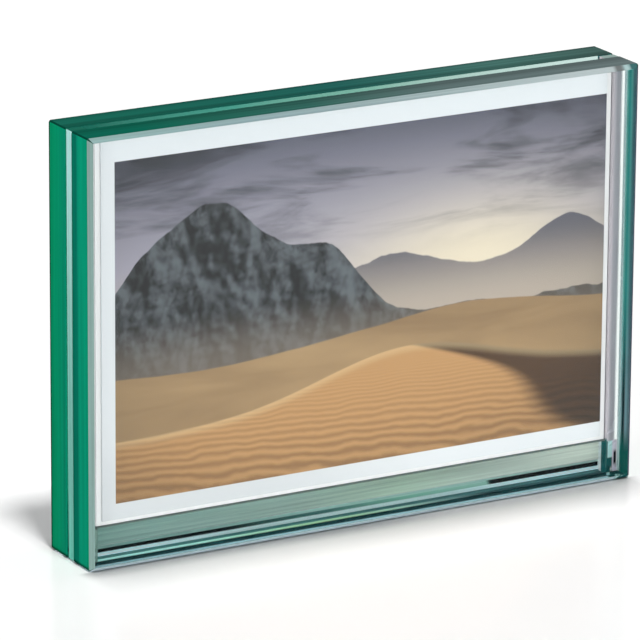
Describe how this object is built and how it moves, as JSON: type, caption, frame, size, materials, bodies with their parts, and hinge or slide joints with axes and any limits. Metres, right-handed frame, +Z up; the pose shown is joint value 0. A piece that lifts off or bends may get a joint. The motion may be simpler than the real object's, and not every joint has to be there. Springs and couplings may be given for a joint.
{
  "type": "glass picture frame",
  "caption": "Free-standing picture frame of thick polished clear glass panes bonded to a clear U-shaped spacer, with a mounted print that lifts out of the open top.",
  "frame": {"origin": "middle of the footprint, on the surface that the frame stands on", "axes": "+X along the width to the viewer's right, the front faces -Y, +Z up"},
  "size_m": [0.165, 0.0236, 0.1157],
  "materials": {
    "glass": "polished clear float glass, green through its edges",
    "clear_bond": "clear cured bonding film",
    "white_card": "smooth white mount card",
    "photo_paper": "satin photographic paper",
    "tape": "thin double-sided paper tape"
  },
  "bodies": {
    "frame": {"front_pane": "glass", "back_pane": "glass", "base_spacer": "glass", "left_spacer": "glass", "right_spacer": "glass", "base_bond_front": "clear_bond", "base_bond_back": "clear_bond", "left_bond_front": "clear_bond", "left_bond_back": "clear_bond", "right_bond_front": "clear_bond", "right_bond_back": "clear_bond"},
    "insert": {"photo_print": "photo_paper", "print_tape_lower": "tape", "print_tape_upper": "tape", "mount_card": "white_card"}
  },
  "joints": [
    {"name": "insert_lift", "type": "slide", "parent": "frame", "child": "insert", "axis": [0, 0, 1], "range_m": [0, 0.1]}
  ]
}
